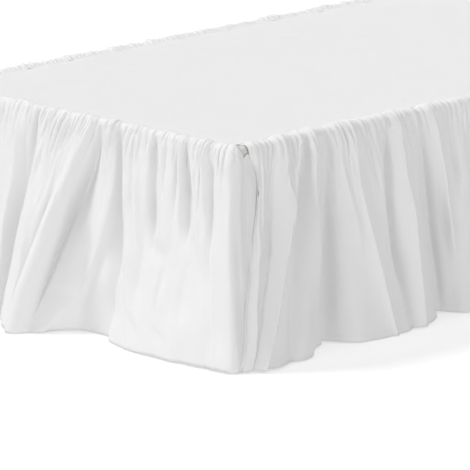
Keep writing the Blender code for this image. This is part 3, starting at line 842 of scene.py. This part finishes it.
def crease_heights(creases, along, up):
    """Sum over the creases of height * taper * exp(-(distance to the crease's curve / width)^2).

    The curve is the parabola from start to end that its bend point draws aside, in short straight
    steps. The taper is sin(pi * share of the curve)^0.7.
    """
    total = np.zeros_like(along)
    share = np.linspace(0.0, 1.0, CREASE_POINTS)
    for a0, u0, a1, u1, a2, u2, width, height in creases:
        line_along = (1 - share) ** 2 * a0 + 2 * share * (1 - share) * a1 + share ** 2 * a2
        line_up = (1 - share) ** 2 * u0 + 2 * share * (1 - share) * u1 + share ** 2 * u2
        square = np.full_like(along, np.inf)
        where = np.zeros_like(along)
        for step in range(len(share) - 1):
            run = np.array([line_along[step + 1] - line_along[step], line_up[step + 1] - line_up[step]])
            aside, above = along - line_along[step], up - line_up[step]
            part = np.clip((aside * run[0] + above * run[1]) / (run @ run), 0.0, 1.0)
            gap = (aside - part * run[0]) ** 2 + (above - part * run[1]) ** 2
            closer = gap < square
            square = np.where(closer, gap, square)
            where = np.where(closer, (step + part) / (len(share) - 1), where)
        taper = np.sin(math.pi * np.clip(where, *CREASE_ENDS)) ** CREASE_TAPER
        total += height * taper * np.exp(-square / width ** 2)
    return total


def gather_heights(gathers, seam, below, seed):
    """Puckers below the seam, summed over their sizes.

    Each is depth * |cos(pi * phase)|^0.7 * (1 - exp(-(below / pitch)^2)) * exp(-(below / reach)^1.3).
    The phase runs through crests at uneven places, each with its own height and reach, and leans
    to and fro, so that the puckers slant, part and run out one by one.
    """
    total = np.zeros((len(below), len(seam)))
    draw = np.random.default_rng(seed)
    for order, (pitch, reach, depth) in enumerate(gathers):
        count = int((seam[-1] - seam[0]) / pitch) + SPARE_CRESTS
        crests = seam[0] - CRESTS_BEFORE * pitch + np.cumsum(draw.uniform(*CREST_SPACING, count) * pitch)
        heights = draw.uniform(*CREST_HEIGHT, count)
        reaches = reach * draw.uniform(*CREST_REACH, count)
        lean = soft_noise(seam[None, :], below, LEAN_PITCHES * pitch, LEAN_REACHES * reach,
                          seed + LEAN_DRAW + order)
        shifted = seam[None, :] + PUCKER_LEAN * pitch * lean * np.clip(below / reach, 0.0, LEAN_MOST)
        shifted -= PUCKER_SLANT * reach * (1 - np.exp(-below / reach))
        phase = np.interp(shifted, crests, np.arange(count))
        height = np.interp(shifted, crests, heights)
        run_out = np.interp(shifted, crests, reaches)
        shape = np.abs(np.cos(math.pi * phase)) ** CREST_POWER
        rise = 1 - np.exp(-(below / pitch) ** 2)
        total += depth * height * shape * rise * np.exp(-(below / run_out) ** RUN_OUT_POWER)
    return total


def row_shares(count):
    """Shares of the cloth's depth at which the rows lie, as dense as one over the steps' widths."""
    fine = np.linspace(0.0, 1.0, FINE_SHARES)
    steps = np.array(ROW_STEPS)
    density = 1 / np.interp(fine, steps[:, 0], steps[:, 1])
    passed = np.concatenate([[0.0], np.cumsum(density[1:] + density[:-1])])
    return np.interp(np.linspace(0.0, passed[-1], count), passed, fine)


def seam_places(start, end, far_step):
    """Places of the columns along the seam: close together in view, wider beyond."""
    near = np.arange(start, IN_VIEW_END, NEAR_STEP)
    far = np.linspace(IN_VIEW_END, end, int((end - IN_VIEW_END) / far_step))
    return np.concatenate([near, far])


def hang_panel(guides, folds, creases, inset, size, seed, turned_length=None, swing=None):
    """Points and UV of a gathered panel in (along, out, up) from its front corner, and its size.

    Each line of the cloth runs over the base edge and then straight to its place at the hem.
    Folds, creases, puckers and waves push it along the normals of that plain surface. A panel with
    a turned length goes round both corners as a flap, and one without has free ends that may swing.
    """
    far_step, row_count = size
    seam = seam_places(guides[0][0], guides[-1][0], far_step)
    along_hem, out_hem, lift = read_guides(guides, seam)
    from_end = seam if turned_length is None else np.minimum(seam, turned_length - seam)
    drop = np.array(FLAP_DROP)
    sag = np.interp(from_end, drop[:, 0], drop[:, 1]) if turned_length else 0.0 * seam
    pressed = fade(from_end, *FLAP_PRESSED) if turned_length else fade(seam - seam[0], *END_PRESSED)

    quarter = (BASE_EDGE_RADIUS + EDGE_CLEARANCE + CAD_CLOTH / 2) * math.pi / 2
    first_run = BASE_EDGE_RADIUS - inset
    centre_up = base_high[2] - BASE_EDGE_RADIUS
    total_run = quarter - first_run + centre_up
    below = (total_run * row_shares(row_count))[:, None]
    run = first_run + below
    roll_out, roll_up = edge_profile(np.minimum(run, quarter) + sag)
    if turned_length:
        roll_along, roll_out = turn_corner(from_end, roll_out)
        roll_along = np.where(from_end < seam, turned_length - roll_along, roll_along)
    else:
        roll_along = np.broadcast_to(seam, roll_out.shape)
        roll_out = roll_out - BASE_EDGE_RADIUS
    roll_up = centre_up + roll_up

    fall = np.clip((run - quarter) / centre_up, 0.0, 1.0)
    hem_up = HEM_HEIGHT + lift
    along = roll_along + (along_hem - roll_along) * fall
    out = roll_out + (out_hem - roll_out) * fall
    up = roll_up + (hem_up - roll_up) * fall
    if swing is not None:
        along = along + swing(seam, fall)
    plain = np.stack([along, out, up], axis=-1)

    normal = np.cross(np.gradient(plain, axis=1), np.gradient(plain, axis=0))
    normal[..., 2] *= 1 - fade(fall, *LEVEL_NORMALS)
    normal /= np.linalg.norm(normal, axis=-1, keepdims=True)

    hem_reach = np.hypot(np.maximum(-along_hem, 0.0), np.maximum(out_hem, 0.0))
    if turned_length:
        hem_reach = np.where(from_end < seam, out_hem, hem_reach)
    puff = GATHER_STAND * (1 - np.exp(-below / STAND_RUN)) * pressed
    height = fold_heights(folds, seam, fall)
    height += crease_heights(creases, along, up)
    height += gather_heights(GATHERS, seam, below, seed) * pressed
    for depth, pitch, pitch_down, slant, start, width, draw in CLOTH_WAVES:
        wave = soft_noise(seam + slant * below, below, pitch, pitch_down, seed + draw)
        height += depth * wave * fade(below, start, width)
    height = puff + height * (ROLL_SHARE + (1 - ROLL_SHARE) * fade(run, 0.0, ROLL_SPAN))
    height = np.maximum(height, -fall * np.maximum(hem_reach - HOLLOW_CLEARANCE, 0.0))
    points = plain + normal * height[..., None]
    points[..., 2] = np.maximum(points[..., 2], HEM_HEIGHT)

    measured_row = points[row_count * 2 // 3]
    steps = np.linalg.norm(np.diff(measured_row, axis=0), axis=1)
    across = np.concatenate([[0.0], np.cumsum(steps)])
    uv = np.stack(np.broadcast_arrays(across[None, :], total_run - below), axis=-1)
    return points, uv, across[-1], total_run


def place_panel(points, corner, along_axis, out_axis):
    """Turn (along, out, up) into world places, from a corner of the base."""
    return (np.array((corner[0], corner[1], 0.0))
            + points[..., 0:1] * np.array(along_axis)
            + points[..., 1:2] * np.array(out_axis)
            + points[..., 2:3] * np.array((0.0, 0.0, 1.0)))


def make_foot_panel():
    """The foot panel hangs on -Y, counted from the right corner to the left one."""
    base_width = base_high[0] - base_low[0]
    far_guides, far_folds = far_cloth(FOOT_GUIDES[-1][0], base_width - CORNER_STRETCH, FOOT_FAR_DRAW)
    corner_rows = mirrored_corner(FOOT_GUIDES, base_width, CORNER_ROWS)
    guides = list(FOOT_GUIDES) + far_guides + corner_rows
    folds = list(FOOT_FOLDS) + far_folds
    points, uv, wide, deep = hang_panel(
        guides, folds, FOOT_CREASES, FOOT_SEAM_INSET, (FOOT_FAR_STEP, FOOT_ROWS), FOOT_DRAW,
        turned_length=base_width)
    placed = place_panel(points, (base_high[0], base_low[1]), (-1, 0, 0), (0, -1, 0))
    cloth = finish_cloth("foot_skirt", placed, uv, "foot_panel", hem_row=FOOT_ROWS - 1)
    return placed


foot_points = make_foot_panel()

# Right side panel: a long strip of the same cotton, gathered to the deck's right edge a little in
# from the base edge, so that its puckers roll over it. Its front end lies over the foot flap.
SIDE_SEAM_INSET = 0.024
PANEL_END_GAP = 0.012
PANEL_END_REACH = 0.085
SIDE_FAR_STEP = 0.0030
SIDE_ROWS = 46
RIGHT_FAR_DRAW = 23
RIGHT_DRAW = 61
RAY_START = 0.1
EDGE_REST_BELOW = (0.010, 0.030)
EDGE_REST_GAP = 0.0009
EDGE_REST_WIDTH = 0.030
EDGE_REST_MOST = 0.035
EDGE_LAID = (0.004, 0.012)
EDGE_LAID_COLUMNS = 18
EDGE_ROLL = 0.0026
EDGE_ROLL_WIDTH = 0.009
SIDE_GUIDES = (
    # seam, along, out, lift
    (0.016, -0.100, 0.091, 0.002),
    (0.022, -0.090, 0.098, 0.002),
    (0.030, -0.078, 0.106, 0.003),
    (0.042, -0.066, 0.114, 0.003),
    (0.085, -0.040, 0.114, 0.004),
    (0.115, -0.020, 0.118, 0.004),
    (0.140, 0.000, 0.119, 0.004),
    (0.170, 0.045, 0.116, 0.003),
    (0.190, 0.085, 0.108, 0.002),
    (0.205, 0.118, 0.096, 0.002),
    (0.222, 0.160, 0.052, 0.004),
    (0.240, 0.215, 0.020, 0.004),
    (0.255, 0.238, 0.055, 0.003),
    (0.280, 0.270, 0.084, 0.001),
    (0.325, 0.345, 0.092, 0.000),
    (0.400, 0.405, 0.097, 0.002),
    (0.440, 0.445, 0.096, 0.003),
    (0.465, 0.487, 0.086, 0.004),
    (0.495, 0.528, 0.060, 0.004),
    (0.530, 0.567, 0.022, 0.004),
    (0.560, 0.590, 0.046, 0.002),
    (0.590, 0.612, 0.074, 0.001),
    (0.640, 0.650, 0.088, 0.001),
)
SIDE_FOLDS = (
    # top, middle, hem, near, far, at top, half way, at hem, from, to
    (0.093, 0.109, 0.054, 0.044, 0.010, -0.006, -0.028, -0.016, -1.0, 2.0),
    (0.122, 0.152, 0.150, 0.005, 0.005, 0.006, 0.009, 0.000, -1.0, 0.26),
    (0.170, 0.146, 0.150, 0.005, 0.005, 0.006, 0.009, 0.000, -1.0, 0.26),
    (0.150, 0.130, 0.080, 0.009, 0.015, 0.004, 0.013, 0.011, 0.10, 2.0),
    (0.151, 0.131, 0.082, 0.004, 0.006, 0.000, 0.005, 0.004, 0.10, 2.0),
    (0.190, 0.186, 0.172, 0.020, 0.011, -0.010, -0.034, -0.014, -1.0, 2.0),
    (0.205, 0.213, 0.230, 0.009, 0.006, 0.008, 0.014, 0.008, -1.0, 2.0),
    (0.206, 0.213, 0.231, 0.004, 0.004, 0.002, 0.004, 0.003, -1.0, 2.0),
    (0.258, 0.243, 0.246, 0.012, 0.014, -0.009, -0.020, -0.002, -1.0, 2.0),
    (0.276, 0.300, 0.310, 0.008, 0.010, 0.006, 0.007, 0.000, -1.0, 0.45),
    (0.320, 0.323, 0.358, 0.018, 0.006, 0.006, 0.014, 0.005, -1.0, 2.0),
    (0.321, 0.322, 0.357, 0.004, 0.005, 0.003, 0.006, 0.004, -1.0, 2.0),
    (0.368, 0.385, 0.390, 0.006, 0.006, -0.007, -0.007, 0.000, -1.0, 0.20),
    (0.436, 0.408, 0.428, 0.014, 0.012, -0.010, -0.028, -0.008, -1.0, 2.0),
    (0.456, 0.447, 0.450, 0.014, 0.007, 0.008, 0.014, 0.006, -1.0, 2.0),
    (0.457, 0.448, 0.449, 0.004, 0.005, 0.003, 0.007, 0.004, -1.0, 2.0),
    (0.532, 0.536, 0.540, 0.012, 0.010, -0.009, -0.018, -0.005, -1.0, 2.0),
    (0.568, 0.580, 0.584, 0.012, 0.007, 0.008, 0.016, 0.005, -1.0, 0.60),
    (0.622, 0.620, 0.622, 0.008, 0.008, -0.008, -0.008, 0.000, -1.0, 0.25),
)
# The panel's free front edge swings away from the corner below the seam.
SWING_WIDTH = 0.045
SWING_SOFTENING = 0.06
SWING_STEPS = 9
END_SWING = (
    # share of the fall, along
    (0.00, 0.006),
    (0.06, 0.030),
    (0.13, 0.055),
    (0.27, 0.053),
    (0.50, 0.040),
    (0.80, 0.032),
    (0.92, 0.026),
    (1.00, 0.000),
)
SIDE_CREASES = (
    # along, up, along, up, along, up, width, height
    (0.350, 0.078, 0.417, 0.048, 0.470, 0.026, 0.0055, 0.0030),
    (0.263, 0.022, 0.272, 0.068, 0.330, 0.074, 0.0080, 0.0035),
    (0.100, 0.100, 0.150, 0.060, 0.180, 0.100, 0.0070, -0.0030),
)


def side_rows(near_guides, near_folds, seed):
    """Guide and fold rows of a long side: those in view, then the far cloth, then the open end."""
    panel_end = base_high[1] - base_low[1] - PANEL_END_GAP
    far_guides, far_folds = far_cloth(near_guides[-1][0], panel_end - FAR_FOLD_PITCH[0], seed)
    guides = list(near_guides) + far_guides + [(panel_end, panel_end, PANEL_END_REACH, FAR_LIFT)]
    return guides, list(near_folds) + far_folds


def swing_away(seam, fall):
    """How far the free front edge and the cloth beside it swing along the face.

    The swing at the share of the fall, as a mean over shares a little above and below it, times
    exp(-(distance along the seam) / width).
    """
    rows = np.array(END_SWING)
    away = np.exp(-(seam - seam[0]) / SWING_WIDTH)
    offsets = np.linspace(-SWING_SOFTENING, SWING_SOFTENING, SWING_STEPS)
    swung = np.mean([np.interp(fall + offset, rows[:, 0], rows[:, 1]) for offset in offsets], axis=0)
    return swung * away


flap_tree = BVHTree.FromPolygons(foot_points.reshape(-1, 3).tolist(),
                                 grid_faces(*foot_points.shape[:2]).tolist())


def flap_beside(places, side):
    """World x of the flap's surface, found by a level ray from outside, beside each point of a row.

    Points whose ray misses the flap, at the top, take the value of the nearest point below.
    """
    inward = Vector((-side, 0.0, 0.0))
    found = np.full(len(places), np.nan)
    for row, place in enumerate(places):
        outside = Vector(place) - inward * RAY_START
        hit = flap_tree.ray_cast(outside, inward, RAY_START + EDGE_REST_MOST)[0]
        if hit is not None:
            found[row] = hit.x
    known = np.flatnonzero(~np.isnan(found))
    return np.interp(np.arange(len(places)), known, found[known])


def lay_on_flap(placed, side):
    """Move the free front edge in until it lies on the foot panel's flap, the cloth beside it less.

    The move is times exp(-(distance to the edge / width)^2). Then the first few millimetres follow
    the flap's surface, with the roll of the edge's own hem: roll * sin(pi * share of its width)^2.
    """
    clear = fade(base_high[2] - placed[..., 2], *EDGE_REST_BELOW)
    beside = np.linalg.norm(placed - placed[:, :1], axis=-1)
    shift = side * (placed[:, 0, 0] - flap_beside(placed[:, 0], side)) - EDGE_REST_GAP
    placed[..., 0] -= side * shift[:, None] * np.exp(-((beside / EDGE_REST_WIDTH) ** 2)) * clear
    roll = EDGE_ROLL * np.sin(math.pi * np.clip(beside / EDGE_ROLL_WIDTH, 0.0, 1.0)) ** 2
    laid = clear * (1 - fade(beside, *EDGE_LAID))
    for column in range(EDGE_LAID_COLUMNS):
        target = flap_beside(placed[:, column], side) + side * (EDGE_REST_GAP + roll[:, column])
        placed[:, column, 0] += laid[:, column] * (target - placed[:, column, 0])
    return placed


def make_side_panel(name, side, rows, creases, seed, node):
    """A side panel hangs on +X or -X, counted from the foot corner to the head end."""
    guides, folds = rows
    points, uv, wide, deep = hang_panel(
        guides, folds, creases, SIDE_SEAM_INSET, (SIDE_FAR_STEP, SIDE_ROWS), seed, swing=swing_away)
    corner = (base_high[0] if side > 0 else base_low[0], base_low[1])
    placed = lay_on_flap(place_panel(points, corner, (0, 1, 0), (side, 0, 0)), side)
    if side > 0:
        placed = placed[:, ::-1]
        uv = uv[:, ::-1]
    cloth = finish_cloth(name, placed, uv, node, hem_row=SIDE_ROWS - 1)


right_rows = side_rows(SIDE_GUIDES, SIDE_FOLDS, RIGHT_FAR_DRAW)
make_side_panel("right_skirt", 1, right_rows, SIDE_CREASES, RIGHT_DRAW, "right_side_panel")

# Left side panel: the same strip on the other long side, which the photo doesn't show. Its folds
# are of the same kind at places of their own, but for the corner, which is the right one's mirrored.
LEFT_NEAR_GUIDES = 5
LEFT_NEAR_FOLDS = 1
LEFT_FAR_DRAW = 37
LEFT_DRAW = 71
left_rows = side_rows(SIDE_GUIDES[:LEFT_NEAR_GUIDES], SIDE_FOLDS[:LEFT_NEAR_FOLDS], LEFT_FAR_DRAW)
make_side_panel("left_skirt", -1, left_rows, (), LEFT_DRAW, "left_side_panel")
